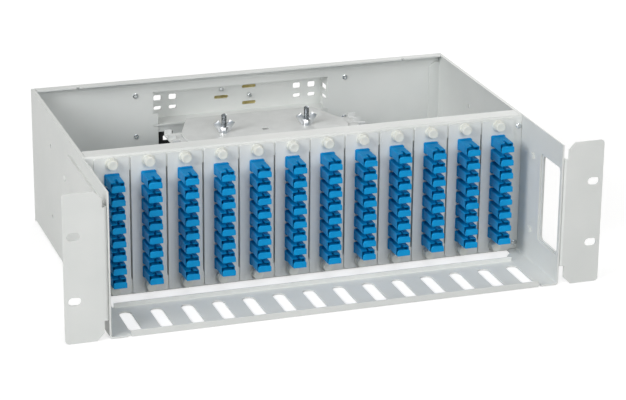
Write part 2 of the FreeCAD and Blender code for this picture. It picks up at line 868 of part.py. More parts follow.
tie_rows = (
    (window_top - dims.tie_upper_drop, dims.tie_upper_height),
    (window_top - dims.tie_lower_drop, dims.tie_lower_height),
)
clamp_heights = {-1: window_top - dims.clamp_high_drop, 1: window_top - dims.clamp_low_drop}
ties = sketch(bracket, "tie_slots", "XZ", pocket_rear)
for way in (1, -1):
    for inset in (dims.tie_outer_inset, dims.tie_inner_inset):
        for height, tall in tie_rows:
            rectangle(ties, (broad - inset) * way, height, dims.tie_width, tall)
for way, height in clamp_heights.items():
    for up in (1, -1):
        rectangle(
            ties, dims.clamp_span / 2 * way, height + dims.clamp_slot_rise * up,
            dims.clamp_slot_length, dims.clamp_slot_height,
        )
    circle(ties, dims.clamp_span / 2 * way, height, dims.clamp_hole)
pocket(bracket, ties, dims.sheet_thick)
side_ties = sketch(bracket, "side_tie_slots", "YZ", -pocket_side)
side_front = wall_rear + dims.sheet_thick + dims.side_tie_margin
side_rear = pocket_rear - dims.side_tie_margin
for height, tall in tie_rows:
    rectangle(side_ties, (side_front + side_rear) / 2, height, side_rear - side_front, tall)
pocket(bracket, side_ties, 2 * pocket_side)


# Cable inlet grommets

grommet_form = new_body("inlet_grommet")
lip_size = dims.inlet_size + 2 * dims.grommet_lip
for name, start, size, length in (
    ("grommet_throat", -dims.sheet_thick, dims.inlet_size - 2 * dims.seat_clear, dims.sheet_thick),
    ("grommet_lip", 0, lip_size, dims.grommet_lip),
):
    ring = sketch(grommet_form, name, "XZ", start)
    rectangle(ring, 0, 0, size, size)
    rectangle(ring, 0, 0, dims.inlet_hole, dims.inlet_hole)
    pad(grommet_form, ring, length)
flap_back = wall_rear + dims.sheet_thick
grommets = group_at("inlet_grommets", grommet_form, [(inlet_x * way, flap_back, inlet_at) for way in (1, -1)])


# Strength member clamps with their screws

clamp_form = new_body("cable_clamp")
clamp_face = sketch(clamp_form, "clamp_face", "XZ")
rectangle(clamp_face, 0, 0, dims.clamp_width, dims.clamp_height)
circle(clamp_face, 0, 0, dims.clamp_hole)
pad(clamp_form, clamp_face, dims.clamp_thick)
screw_form = new_body("clamp_screw")
screw_shank = sketch(screw_form, "screw_shank", "XZ", -dims.sheet_thick - dims.clamp_screw_end)
circle(screw_shank, 0, 0, dims.clamp_screw)
pad(screw_form, screw_shank, dims.clamp_screw_end + dims.sheet_thick + dims.clamp_thick)
screw_head = sketch(screw_form, "screw_head", "XZ", dims.clamp_thick)
circle(screw_head, 0, 0, dims.clamp_screw_head)
pad(screw_form, screw_head, dims.clamp_head_thick)
bracket_back = pocket_rear + dims.sheet_thick
clamp_spots = [(dims.clamp_span / 2 * way, bracket_back, height) for way, height in clamp_heights.items()]
clamps = [
    copy_at(label, clamp_form, *spot)
    for label, spot in zip(("cable_clamp_left", "cable_clamp_right"), clamp_spots)
]
clamp_screws = group_at("clamp_screws", screw_form, clamp_spots)


# Splice cassette on two studs, with sleeves below and wing nuts above

cassette_foot = floor_top + dims.sleeve_length
cover_at = cassette_foot + dims.cassette_height
nut_at = cover_at + dims.cover_thick
stud_y = box_rear - dims.stud_inset
stud_xs = [dims.stud_span / 2 * way for way in (-1, 1)]

stud_form = new_body("cassette_stud")
stud_round = sketch(stud_form, "stud_round", "XY")
circle(stud_round, 0, 0, dims.stud_width)
pad(stud_form, stud_round, nut_at + dims.stud_spare - floor_top)
studs = group_at("cassette_studs", stud_form, [(x, stud_y, floor_top) for x in stud_xs])

sleeve_form = new_body("stud_sleeve")
sleeve_round = sketch(sleeve_form, "sleeve_round", "XY")
circle(sleeve_round, 0, 0, dims.sleeve_width)
circle(sleeve_round, 0, 0, dims.stud_hole)
pad(sleeve_form, sleeve_round, dims.sleeve_length)
sleeves = group_at("stud_sleeves", sleeve_form, [(x, stud_y, floor_top) for x in stud_xs])


def cassette_outline(body, name, at, inset):
    """A long outline whose ends draw in towards both long edges."""
    half_long = dims.cassette_length / 2 - inset
    half_deep = dims.cassette_depth / 2 - inset
    right = [
        (half_long - dims.cassette_taper, -half_deep),
        (half_long, dims.cassette_slope - half_deep),
        (half_long, half_deep - dims.cassette_slope),
        (half_long - dims.cassette_taper, half_deep),
    ]
    drawing = sketch(body, name, "XY", at)
    outline(drawing, right + [(-across, deep) for across, deep in reversed(right)])
    return drawing


cassette = new_body("splice_cassette")
pad(cassette, cassette_outline(cassette, "cassette_shell", 0, 0), dims.cassette_height)
hollow = cassette_outline(cassette, "cassette_hollow", dims.cassette_wall, dims.cassette_wall)
pocket(cassette, hollow, dims.cassette_height)
bosses = sketch(cassette, "cassette_bosses", "XY", dims.cassette_wall)
for x in stud_xs:
    rectangle(bosses, x, 0, dims.cassette_boss, dims.cassette_boss)
pad(cassette, bosses, dims.cassette_height - dims.cassette_wall)
cassette_end = dims.cassette_length / 2
ledge_end = cassette_end + dims.ledge_length
ledge_start = cassette_end - dims.ledge_root
ledges = sketch(cassette, "cassette_ledges", "XY", dims.cassette_height - dims.ledge_thick)
fingers = sketch(cassette, "cassette_fingers", "XY", dims.cassette_height)
for way in (1, -1):
    rectangle(ledges, (ledge_start + ledge_end) / 2 * way, 0, ledge_end - ledge_start, dims.ledge_width)
    for deep in (-1, 0, 1):
        rectangle(
            fingers, (ledge_end - dims.finger_length / 2) * way,
            (dims.ledge_width - dims.finger_width) / 2 * deep, dims.finger_length, dims.finger_width,
        )
pad(cassette, ledges, dims.ledge_thick)
pad(cassette, fingers, dims.finger_rise)
stud_holes = sketch(cassette, "cassette_stud_holes", "XY")
for x in stud_xs:
    circle(stud_holes, x, 0, dims.stud_hole)
pocket(cassette, stud_holes, dims.cassette_height)
place(cassette, 0, stud_y, cassette_foot)

cover = new_body("cassette_cover")
pad(cover, cassette_outline(cover, "cover_plate", 0, 0), dims.cover_thick)
cover_holes = sketch(cover, "cover_holes", "XY")
for x in stud_xs:
    circle(cover_holes, x, 0, dims.stud_hole)
rectangle(cover_holes, 0, 0, dims.cover_slot_length, dims.cover_slot_width)
pocket(cover, cover_holes, dims.cover_thick)
place(cover, 0, stud_y, cover_at)

wing_form = new_body("wing_nut")
hub = sketch(wing_form, "wing_hub", "XY")
circle(hub, 0, 0, dims.wing_hub_width)
pad(wing_form, hub, dims.wing_hub_height)
hub_side = dims.wing_hub_width / 2
root = (dims.stud_hole / 2 + hub_side) / 2
wing_tip = dims.wing_span / 2
wings = sketch(wing_form, "wing_blades", "XZ", -dims.wing_thick / 2)
for way in (1, -1):
    outline(wings, [
        (root * way, dims.wing_root),
        (hub_side * way, dims.wing_root),
        (wing_tip * way, dims.wing_rise - dims.wing_root * 2),
        (wing_tip * way, dims.wing_rise),
        ((wing_tip - dims.wing_root) * way, dims.wing_rise),
        (root * way, dims.wing_hub_height),
    ])
pad(wing_form, wings, dims.wing_thick)
thread = sketch(wing_form, "wing_thread", "XY")
circle(thread, 0, 0, dims.stud_hole)
pocket(wing_form, thread, dims.wing_hub_height)
wing_nuts = [
    copy_at(label, wing_form, x, stud_y, nut_at)
    for label, x in zip(("wing_nut_left", "wing_nut_right"), stud_xs)
]


# Every piece is checked, then written to its own file

doc.recompute()
pieces = [
    box, tray, *ears, *bolt_groups, ear_nuts, frame, *plates, adapters, caps, *plungers,
    rear, bracket, grommets, *clamps, clamp_screws, studs, sleeves, cassette, cover, *wing_nuts,
]
for item in doc.Objects:
    if "Invalid" in item.State or "Error" in item.State:
        raise ValueError(f"{item.Label} did not recompute")
os.makedirs("parts", exist_ok=True)
for piece in pieces:
    if piece.Shape.isNull() or not piece.Shape.isValid():
        raise ValueError(f"{piece.Label} has no valid shape")
    piece.Shape.exportStep(f"parts/{piece.Label}.step")
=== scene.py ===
# %% [markdown]
# # A fibre patch panel, dressed from its CAD frame
#
# The panel is a rack unit for optical fibre. Twelve plates carry rows of blue couplers with dust caps,
# white latches hold the plates, and an open splice box stands behind them. The CAD frame gives the pieces
# their places and main sizes, so this lesson only adds what the eye looks for: soft edges, round knobs,
# moulded couplers, rivets, threads and finishes.

import math

import bmesh
import bpy
import numpy as np
from mathutils import Matrix, Vector


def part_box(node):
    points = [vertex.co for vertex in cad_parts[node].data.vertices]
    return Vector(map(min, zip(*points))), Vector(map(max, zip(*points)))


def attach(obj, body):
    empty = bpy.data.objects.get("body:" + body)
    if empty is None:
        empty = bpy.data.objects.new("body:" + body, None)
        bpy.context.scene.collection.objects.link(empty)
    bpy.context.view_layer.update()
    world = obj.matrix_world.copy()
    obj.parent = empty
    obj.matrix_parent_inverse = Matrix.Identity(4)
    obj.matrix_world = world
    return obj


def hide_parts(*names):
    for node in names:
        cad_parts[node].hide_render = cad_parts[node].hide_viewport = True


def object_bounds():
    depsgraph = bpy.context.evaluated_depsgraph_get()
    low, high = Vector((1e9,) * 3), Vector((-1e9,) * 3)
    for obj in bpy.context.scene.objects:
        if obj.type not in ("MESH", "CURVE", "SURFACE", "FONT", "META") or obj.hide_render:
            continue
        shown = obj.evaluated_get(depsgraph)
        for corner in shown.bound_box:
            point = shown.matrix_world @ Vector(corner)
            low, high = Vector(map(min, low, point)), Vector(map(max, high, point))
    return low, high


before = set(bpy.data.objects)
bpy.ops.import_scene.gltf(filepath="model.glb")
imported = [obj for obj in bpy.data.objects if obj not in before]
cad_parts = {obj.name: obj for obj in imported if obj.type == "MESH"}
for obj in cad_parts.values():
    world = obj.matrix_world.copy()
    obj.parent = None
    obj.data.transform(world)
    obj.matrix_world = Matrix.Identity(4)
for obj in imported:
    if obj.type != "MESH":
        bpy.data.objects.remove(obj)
cad_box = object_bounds()
MM = 0.001
CHASSIS = "chassis"

# %% [markdown]
# ## Helpers for materials
#
# Colours are written as sRGB hex, as a picture editor shows them, and one function turns them to the
# linear numbers that the shader uses. A second function adds a node with its settings and links, so a
# material reads as a list of what it is made of. Patterns use Object coordinates, because a piece's
# object sits at the origin and the pattern then keeps its real size in millimetres.

# %% Colour and node helpers
def linear(hex_colour):
    """sRGB hex to linear: a straight line near black, a power curve above it."""
    parts = np.array([int(hex_colour[i:i + 2], 16) for i in (1, 3, 5)]) / 255
    low, high = parts / 12.92, ((parts + 0.055) / 1.055) ** 2.4
    return (*np.where(parts <= 0.04045, low, high).tolist(), 1.0)


def add(tree, kind, links=(), **settings):
    """Add one node. Settings name sockets or properties, and links pair a socket with a source."""
    node = tree.nodes.new(kind)
    for name, value in settings.items():
        label = name.replace("_", " ").title()
        if label in node.inputs:
            node.inputs[label].default_value = value
        else:
            setattr(node, name, value)
    for socket, source in links:
        tree.links.new(source, node.inputs[socket])
    return node


def new_material(name):
    """A new material with its node tree, its shader and the object's own coordinates."""
    material = bpy.data.materials.new(name)
    material.use_nodes = True
    tree = material.node_tree
    shader = tree.nodes["Principled BSDF"]
    place = add(tree, "ShaderNodeTexCoord").outputs["Object"]
    return material, tree, shader, place


print("half grey is", round(linear("#808080")[0], 3), "in linear light")

# %% [markdown]
# ## Mottle and grain
#
# No real surface has one flat colour. Two effects take care of that, and every finish below uses them.
# The mottle drifts between two near shades. The grain is finer: it moves the roughness, and on most
# surfaces it also raises them a little. A picture could do the same, but it repeats and has to be
# unwrapped on to every piece. A noise seldom leaves the middle of its range, so both effects spread that
# middle over their whole span.

# %% Mottle and grain
NOISE_LOW, NOISE_HIGH = 0.3, 0.7


def per_metre(size_mm):
    """Noise scale for spots of this width: one over the width in metres."""
    return 1 / (size_mm * MM)


def mottle(tree, shader, place, size_mm, dark, light, detail=3.0):
    """Base colour that goes from the dark to the light shade as a noise goes through its middle."""
    noise = add(tree, "ShaderNodeTexNoise", [("Vector", place)], scale=per_metre(size_mm), detail=detail)
    ramp = add(tree, "ShaderNodeValToRGB", [("Fac", noise.outputs["Fac"])])
    first, last = ramp.color_ramp.elements
    first.position = NOISE_LOW
    last.position = NOISE_HIGH
    first.color = linear(dark)
    last.color = linear(light)
    tree.links.new(ramp.outputs["Color"], shader.inputs["Base Color"])


def grain(tree, shader, place, size_mm, rough, depth_mm=0.0, strength=0.0):
    """Roughness between two values in step with a fine noise, which also lifts the surface by a depth."""
    noise = add(tree, "ShaderNodeTexNoise", [("Vector", place)], scale=per_metre(size_mm), detail=2.0)
    height = noise.outputs["Fac"]
    spread = add(
        tree, "ShaderNodeMapRange", [("Value", height)],
        from_min=NOISE_LOW, from_max=NOISE_HIGH, to_min=rough[0], to_max=rough[1],
    )
    tree.links.new(spread.outputs["Result"], shader.inputs["Roughness"])
    if depth_mm:
        bump = add(tree, "ShaderNodeBump", [("Height", height)], strength=strength, distance=depth_mm * MM)
        tree.links.new(bump.outputs["Normal"], shader.inputs["Normal"])


print("a spot of 2 mm has noise scale", round(per_metre(2.0)))

# %% [markdown]
# ## Powder-coated steel
#
# All folded sheets are steel with a light grey polyester powder coat, sprayed dry and melted in an
# oven. It sets to a satin skin with a fine orange peel. The real peel is under a millimetre wide, and
# it is drawn a little coarser so that it shows. A broad mottle moves the grey by a shade, as a baked
# coat does on a large panel.

# %% Powder coat
def powder_coat():
    """A drift of the grey over about a hand's width, and the orange peel."""
    material, tree, shader, place = new_material("polyester_powder_coat_light_grey")
    mottle(tree, shader, place, size_mm=60.0, dark="#dadddb", light="#e2e4e2")
    grain(tree, shader, place, size_mm=1.3, rough=(0.46, 0.60), depth_mm=0.08, strength=0.35)
    return material


coat = powder_coat()
print("made", coat.name)

# %% [markdown]
# ## Blue coupler plastics
#
# Couplers and caps are injection moulded in the blue that marks single-mode fibre with a flat polish.
# The couplers are glass-filled and a little dull. The caps are plain soft plastic, lighter and a touch
# smoother. Both get a faint flow mottling and the fine grain of an eroded mould, and reflect less white
# than clear plastic does, which keeps the blue deep.

# %% Coupler and cap plastics
FLOW_MM = 9.0


def moulded(name, dark, light, rough, grain_mm, depth_mm, shine=0.35):
    """Moulded plastic: two near shades in a flow mottle, and the grain of the mould."""
    material, tree, shader, place = new_material(name)
    mottle(tree, shader, place, FLOW_MM, dark, light)
    grain(tree, shader, place, grain_mm, rough, depth_mm, strength=0.3)
    shader.inputs["Specular IOR Level"].default_value = shine
    return material


coupler_blue = moulded(
    "pbt_moulded_coupler_blue", "#0083c1", "#028dcb",
    rough=(0.40, 0.52), grain_mm=0.7, depth_mm=0.03, shine=0.18,
)
cap_blue = moulded(
    "pe_moulded_cap_blue", "#008ece", "#0499d8",
    rough=(0.34, 0.44), grain_mm=0.8, depth_mm=0.02, shine=0.18,
)
print("made", coupler_blue.name, cap_blue.name)

# %% [markdown]
# ## Natural nylon and cassette plastic
#
# The latch knobs and sleeves are uncoloured nylon. Light enters it and comes out again a few
# millimetres away, which makes the knobs look milky with soft shadows. Subsurface scattering does that.
# The splice cassette is a harder, glossier plastic in the grey of the sheets.

# %% Natural nylon and cassette plastic
def natural_nylon():
    """Moulded plastic that scatters light inside, a little further for red than for blue."""
    material = moulded(
        "pa66_natural_nylon", "#dcded7", "#e3e5df", rough=(0.40, 0.52), grain_mm=1.0, depth_mm=0.02,
    )
    shader = material.node_tree.nodes["Principled BSDF"]
    shader.inputs["Subsurface Weight"].default_value = 0.2
    shader.inputs["Subsurface Radius"].default_value = (1.0, 0.9, 0.75)
    shader.inputs["Subsurface Scale"].default_value = 2.5 * MM
    return material


nylon = natural_nylon()
cassette_white = moulded(
    "abs_moulded_cassette_white", "#d9dbda", "#dfe1e0", rough=(0.16, 0.22), grain_mm=1.2, depth_mm=0.003,
)
print("made", nylon.name, cassette_white.name)

# %% [markdown]
# ## Zinc and rubber
#
# Screws are zinc plated: bright, slightly blue, with a drifting roughness where the barrel rubbed them.
# The studs are cut from zinc-plated threaded rod, which is greyer. The wing nuts are cast in zinc and
# look duller and whiter. The cable clamps are passivated yellow, a film that shifts from straw to gold.
# The inlet grommets are black rubber, which is matt because of its fine chalky skin.

# %% Zinc, yellow zinc and rubber
def plated(name, dark, light, rough):
    """Barrel-plated metal: full metal with two near shades and rubbed patches."""
    material, tree, shader, place = new_material(name)
    shader.inputs["Metallic"].default_value = 1.0
    mottle(tree, shader, place, size_mm=4.0, dark=dark, light=light, detail=4.0)
    grain(tree, shader, place, size_mm=1.5, rough=rough)
    return material


zinc = plated("steel_bright_zinc_plate", "#dde1e3", "#eceeef", rough=(0.18, 0.30))
cast_zinc = plated("zinc_die_cast_dull", "#dfe2e4", "#edeef0", rough=(0.28, 0.36))
rod_zinc = plated("steel_grey_zinc_rod", "#868c90", "#a0a5a9", rough=(0.22, 0.34))
yellow_zinc = plated("steel_yellow_passivated_zinc", "#bba868", "#d8ca96", rough=(0.28, 0.42))
rubber = moulded(
    "epdm_black_rubber", "#161717", "#232424", rough=(0.62, 0.78), grain_mm=0.9, depth_mm=0.05,
)
print("made", zinc.name, cast_zinc.name, rod_zinc.name, yellow_zinc.name, rubber.name)

# %% [markdown]
# ## One list of finishes
#
# The CAD record names a slot for every piece's material. One list ties each slot to its finish, and one
# function gives a piece the finish of its slot and the body that it rides on. The studs and the wing nuts
# share the screws' slot, and get their own zinc where they are made.

# %% Finishes by slot
FINISHES = {
    "powder_coat": coat, "adapter_blue": coupler_blue, "cap_blue": cap_blue, "nylon": nylon,
    "sleeve_plastic": nylon, "cassette_plastic": cassette_white, "zinc_plate": zinc,
    "yellow_zinc": yellow_zinc, "rubber": rubber,
}


def finish_piece(piece, slot, body):
    """Give a piece the finish of its slot, and the body that carries it."""
    piece.data.materials.clear()
    piece.data.materials.append(FINISHES[slot])
    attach(piece, body)


print("finishes:", len(FINISHES))

# %% [markdown]
# ## Folded sheets with soft edges
#
# Sheared and coated edges are never knife sharp, and the thin light line along them is what makes a
# sheet look like metal. A copy of each CAD sheet has its loose triangles merged and its flat faces
# joined, and a Bevel modifier then rounds the edges that turn sharply. Edges could be rounded in the
# CAD too, but each round costs triangles there, and a modifier's width is easy to change.

# %% Edge ends and bevels
SHARP_ANGLE = math.radians(40)


def edge_ends(mesh):
    """The first and the second end of every edge."""
    spot = np.empty(len(mesh.vertices) * 3, np.float32)
    mesh.vertices.foreach_get("co", spot)
    ends = np.empty(len(mesh.edges) * 2, np.int32)
    mesh.edges.foreach_get("vertices", ends)
    first, second = ends.reshape(-1, 2).T
    return spot.reshape(-1, 3)[first], spot.reshape(-1, 3)[second]


def soft_edges(piece, name, limit, width_mm, segments):
    """A bevel of one width, on edges that have a weight or on edges that turn sharply."""
    bevel = piece.modifiers.new(name, "BEVEL")
    bevel.limit_method = limit
    bevel.angle_limit = SHARP_ANGLE
    bevel.width = width_mm * MM
    bevel.segments = segments
    bevel.harden_normals = limit == "ANGLE"


print("edges of the tray's triangles:", len(edge_ends(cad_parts["patch_tray"].data)[0]))

# %% [markdown]
# ## Soft copies
#
# The copy stands for its CAD node in the picture. Two passes of bevel are laid on it: a wide one on chosen
# corners, which carry a weight, and a narrow one on all edges that are still sharp after it.

# %% Soft copies of CAD nodes
MERGE_DISTANCE, FLAT_ANGLE = 1e-6, math.radians(0.5)


def soft_copy(node, slot, edge_mm=0.3, corner_mm=0.0, corners=None):
    """The node's own shape with rounded edges, and larger rounds at chosen corners."""
    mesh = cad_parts[node].data.copy()
    mesh.name = f"{node}_soft"
    shape = bmesh.new()
    shape.from_mesh(mesh)
    bmesh.ops.remove_doubles(shape, verts=shape.verts, dist=MERGE_DISTANCE)
    bmesh.ops.dissolve_limit(shape, angle_limit=FLAT_ANGLE, verts=shape.verts, edges=shape.edges)
    shape.to_mesh(mesh)
    shape.free()
    for name in ("custom_normal", "sharp_edge"):
        if name in mesh.attributes:
            mesh.attributes.remove(mesh.attributes[name])
    mesh.shade_smooth()
    piece = bpy.data.objects.new(f"{node}_soft", mesh)
    bpy.context.scene.collection.objects.link(piece)
    if corners:
        weight = corners(node, *edge_ends(mesh)).astype(np.float32)
        mesh.attributes.new("bevel_weight_edge", "FLOAT", "EDGE").data.foreach_set("value", weight)
        soft_edges(piece, "corner", "WEIGHT", corner_mm, segments=4)
    soft_edges(piece, "edge", "ANGLE", edge_mm, segments=2)
    finish_piece(piece, slot, CHASSIS)
    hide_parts(node)


print("faces within", round(math.degrees(FLAT_ANGLE), 2), "degrees are joined")

# %% [markdown]
# ## Rounder corners
#
# Two kinds of corner are punched with a clear round: the corners of the adapter plates and those of the
# bracket's tie slots. The edges wanted are those that run straight through the sheet, at the right
# places. They could be picked by hand, but a test on whole arrays of edge ends still finds them when a
# size changes.

# %% Pick the corners
CLAMPS = ("cable_clamp_left", "cable_clamp_right")
SAME_PLACE = 1e-5
BRACKET_BAND, TIE_REACH, SCREW_HOLE_REACH = 2 * MM, 83 * MM, 4 * MM


def middle(node):
    """Middle of a node's box."""
    low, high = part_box(node)
    return (np.array(low) + np.array(high)) / 2


def through_sheet(first, second):
    """Edges that run straight along Y."""
    return abs(first - second)[:, [0, 2]].max(axis=1) < MERGE_DISTANCE


def plate_corners(node, first, second):
    """Edges through the plate at the four corners of its face."""
    low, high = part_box(node)
    on_edge = (abs(first - np.array(low)) < SAME_PLACE) | (abs(first - np.array(high)) < SAME_PLACE)
    return through_sheet(first, second) & on_edge[:, 0] & on_edge[:, 2]


def tie_slot_corners(node, first, second):
    """Edges through the bracket's rear sheet, without its own outline and its two screw holes."""
    rear = np.minimum(first, second)[:, 1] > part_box(node)[1].y - BRACKET_BAND
    inner = abs(first[:, 0]) < TIE_REACH
    for clamp in CLAMPS:
        inner &= np.hypot(*(first - middle(clamp))[:, [0, 2]].T) > SCREW_HOLE_REACH
    return through_sheet(first, second) & rear & inner


print("clamp centres in mm:", [np.round(middle(clamp) / MM, 1).tolist() for clamp in CLAMPS])

# %% [markdown]
# ## Dressing the sheets
#
# Thick coats and moulded corners are rounder than sheared sheet, so each kind of piece has its own width
# of edge. The plates, with a thick coat on their folded sides, and the soft rubber get the widest.

# %% Dress the sheets
plate_names = [name for name in sorted(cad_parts) if name.startswith("adapter_plate_")]
for node in ("box_body", "patch_tray", "front_frame", "rear_wall", "ear_left", "ear_right"):
    soft_copy(node, "powder_coat")
soft_copy("cable_bracket", "powder_coat", corner_mm=1.5, corners=tie_slot_corners)
soft_copy("ear_nuts", "powder_coat", edge_mm=0.25)
for node in plate_names:
    soft_copy(node, "powder_coat", edge_mm=0.55, corner_mm=2.0, corners=plate_corners)
for node in ("splice_cassette", "cassette_cover"):
    soft_copy(node, "cassette_plastic", edge_mm=0.4)
for node in CLAMPS:
    soft_copy(node, "yellow_zinc", edge_mm=0.5)
soft_copy("inlet_grommets", "rubber", edge_mm=0.6)

# %% [markdown]
# ## Skins from stacked rings
#
# New pieces are grids of points worked out with numpy. A ring is a closed row of points, and a stack of
# rings makes a skin. A skin that is copied to many places is one array with one more axis, so ninety-six
# couplers are made in the same few lines as one.

# %% Skins from stacked rings
def skin_faces(copies, rings, points):
    """Quads between neighbouring rings, and one flat face at each end, numbered on for every copy."""
    ring, point = np.meshgrid(np.arange(rings - 1), np.arange(points), indexing="ij")
    near, far = ring * points + point, ring * points + (point + 1) % points
    quads = np.stack([near, far, far + points, near + points], axis=-1).reshape(-1, 4)
    ends = np.stack([np.arange(points)[::-1], (rings - 1) * points + np.arange(points)])
    start = np.arange(copies)[:, None, None] * rings * points
    return (start + quads).reshape(-1, 4).tolist() + (start + ends).reshape(-1, points).tolist()


def skin_piece(name, stack, places, slot, body=CHASSIS, smooth_deg=40):
    """One mesh with the stack of rings, shaped (rings, points, 3), added to every place."""
    rings, points = stack.shape[:2]
    flat = stack.reshape(1, -1, 3) + np.asarray(places, float).reshape(-1, 1, 3)
    mesh = bpy.data.meshes.new(name)
    mesh.from_pydata(flat.reshape(-1, 3), [], skin_faces(len(flat), rings, points))
    shape = bmesh.new()
    shape.from_mesh(mesh)
    bmesh.ops.recalc_face_normals(shape, faces=shape.faces)
    shape.to_mesh(mesh)
    shape.free()
    mesh.shade_smooth()
    mesh.set_sharp_from_angle(angle=math.radians(smooth_deg))
    piece = bpy.data.objects.new(name, mesh)
    bpy.context.scene.collection.objects.link(piece)
    finish_piece(piece, slot, body)
    return piece


print("faces of 96 skins with 3 rings of 8 points:", len(skin_faces(96, 3, 8)))

# %% [markdown]
# ## Two kinds of ring
#
# Most new pieces are either turned, as on a lathe, or have a rounded rectangle as their section. A turned
# form closes on its axis with a ring so small that it can't be seen. Domes and blades are shaded smooth
# over edges that turn by up to 50 degrees, so that a few rings look like one curve.

# %% Turned and rounded rings
POLE = 0.01
ROUND, SMALL_ROUND = 28, 24
SOFT_TURN = 50


def turned(profile_mm, points, axis):
    """Rings of a turned form: each (radius, height) of the profile goes once round the axis."""
    radius, height = np.array(profile_mm, float).T * MM
    angle = np.linspace(0, 2 * np.pi, points, endpoint=False)
    one, two = np.outer(radius, np.cos(angle)), np.outer(radius, np.sin(angle))
    up = np.repeat(height[:, None], points, axis=1)
    order = {"x": (up, one, two), "y": (two, up, one), "z": (one, two, up)}[axis]
    return np.stack(order, axis=-1)


def rounded(width_mm, height_mm, corner_mm, steps):
    """Ring of a rounded rectangle: a corner centre plus a quarter circle, four times."""
    angle = np.arange(4)[:, None] * np.pi / 2 + np.linspace(0, np.pi / 2, steps + 1)
    across = np.array([1, -1, -1, 1])[:, None] * (width_mm / 2 - corner_mm) + corner_mm * np.cos(angle)
    up = np.array([1, 1, -1, -1])[:, None] * (height_mm / 2 - corner_mm) + corner_mm * np.sin(angle)
    return np.stack([across.ravel(), up.ravel()], axis=-1) * MM


print("points of a rounded rectangle:", len(rounded(10.0, 5.0, 1.0, steps=2)))

# %% [markdown]
# ## Plate flanges
#
# The long sides of an adapter plate turn back through the frame's opening, which makes the thin plate
# stiff. Two neighbours leave a deep narrow gap, and that is the dark line between them. A flange is a
# plain strip, so it is one rectangle carried straight back from the plate.

# %% Fold the plate flanges
FLANGE_THICK, FLANGE_DEPTH, FLANGE_EXTRA = 1.2, 7.0, 2.0


def strip(width_mm, tall_mm, depth_mm):
    """Two rings of four corners, the second one straight behind the first."""
    across, up = np.array([(1, 1), (-1, 1), (-1, -1), (1, -1)]).T * [[width_mm / 2], [tall_mm / 2]]
    rings = [np.column_stack([across, np.full(4, at), up]) for at in (0.0, depth_mm)]
    return np.array(rings) * MM


coupler_low, coupler_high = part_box("sc_adapters")
plate_front, plate_back = (corner.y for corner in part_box(plate_names[0]))
flange_z = middle("sc_adapters")[2]
flange_places = []
for left, right in zip(plate_names, plate_names[1:]):
    for edge, way in ((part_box(left)[1].x, -1), (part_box(right)[0].x, 1)):
        flange_places.append((edge + way * FLANGE_THICK / 2 * MM, plate_back, flange_z))
flange = strip(FLANGE_THICK, (coupler_high.z - coupler_low.z) / MM + 2 * FLANGE_EXTRA, FLANGE_DEPTH)
skin_piece("plate_flanges", flange, flange_places, "powder_coat", smooth_deg=25)
print("plate flanges:", len(flange_places))

# %% [markdown]
# ## Latch knobs
#
# Each plate is held by two push-pull latches. The CAD knob is a prism with flats, because a true round
# would cost too many triangles there. Here it is turned: a head with a soft edge and a slightly hollow
# face, on a square stem. The stem is made in the same stack, from two rings that are bent square. A thin
# collar stays behind on the plate when the knob is pulled, so the collars ride on the chassis and every
# knob rides on its own body.

# %% Turn the latch knobs
STEM_SIDE, KNOB_INSET, KNOB_HOLLOW = 3.8, 0.3, 0.3
COLLAR_EXTRA, COLLAR_THICK, COLLAR_BORE, COLLAR_EDGE = 0.55, 1.6, 3.0, 0.3
# Inset from the knob's edge and depth behind its face: the soft edge, then the slope into the hollow.
KNOB_FACE = ((0.0, 0.9), (0.25, 0.3), (0.9, 0.0), (1.6, 0.12))


def square_ring(side_mm, points):
    """A ring bent square: each angle is carried out to the sides of a square."""
    angle = np.linspace(0, 2 * np.pi, points, endpoint=False)
    reach = side_mm / 2 / np.maximum(abs(np.cos(angle)), abs(np.sin(angle)))
    return reach * np.cos(angle), reach * np.sin(angle)


def latch_knob(node, centre, radius, out, stem):
    """Square stem rings first, then the head's profile from its back to the hollow of its face."""
    shank = [(POLE, stem), (STEM_SIDE / 2, stem), (STEM_SIDE / 2, -COLLAR_THICK), (radius, -COLLAR_THICK)]
    face = [(radius - inset, depth - out) for inset, depth in KNOB_FACE]
    stack = turned(shank + face + [(POLE, KNOB_HOLLOW - out)], ROUND, "y")
    one, two = square_ring(STEM_SIDE, ROUND)
    stack[1:3, :, 0] = two * MM
    stack[1:3, :, 2] = one * MM
    piece = skin_piece(f"{node}_knob", stack, [centre], "nylon", node)
    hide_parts(node)


latch_names = [name for name in sorted(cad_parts) if name.startswith("latch_")]
knob_low, knob_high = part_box(latch_names[0])
knob_radius = (knob_high.x - knob_low.x) / 2 / MM
knob_out, knob_stem = (plate_front - knob_low.y) / MM, (knob_high.y - plate_front) / MM
knob_places = [(middle(node)[0], plate_front, middle(node)[2]) for node in latch_names]
for node, place in zip(latch_names, knob_places):
    latch_knob(node, place, knob_radius - KNOB_INSET, knob_out, knob_stem)
collar_edge = knob_radius + COLLAR_EXTRA
collar_profile = [
    (COLLAR_BORE, 0.0), (collar_edge, 0.0), (collar_edge, COLLAR_EDGE - COLLAR_THICK),
    (collar_edge - COLLAR_EDGE, -COLLAR_THICK), (COLLAR_BORE, -COLLAR_THICK), (COLLAR_BORE, 0.0),
]
skin_piece("latch_collars", turned(collar_profile, ROUND, "y"), knob_places, "nylon")
print("latch knobs and collars:", len(latch_names))

# %% [markdown]
# ## Couplers
#
# A coupler is a moulded sleeve with a collar against the plate, a port at its front and a narrow key slot
# cut through the top wall. It is made of two skins. The rear skin is a plain block with the collar. The
# front skin carries a section like a letter C that lies on its back: out round the sleeve, down one side
# of the slot, round inside the port and up the other side. The rim of the top wall stands back a little
# from the side walls. A Boolean cut could open port and slot, but it leaves thin stray triangles, and here
# they would show ninety-six times.

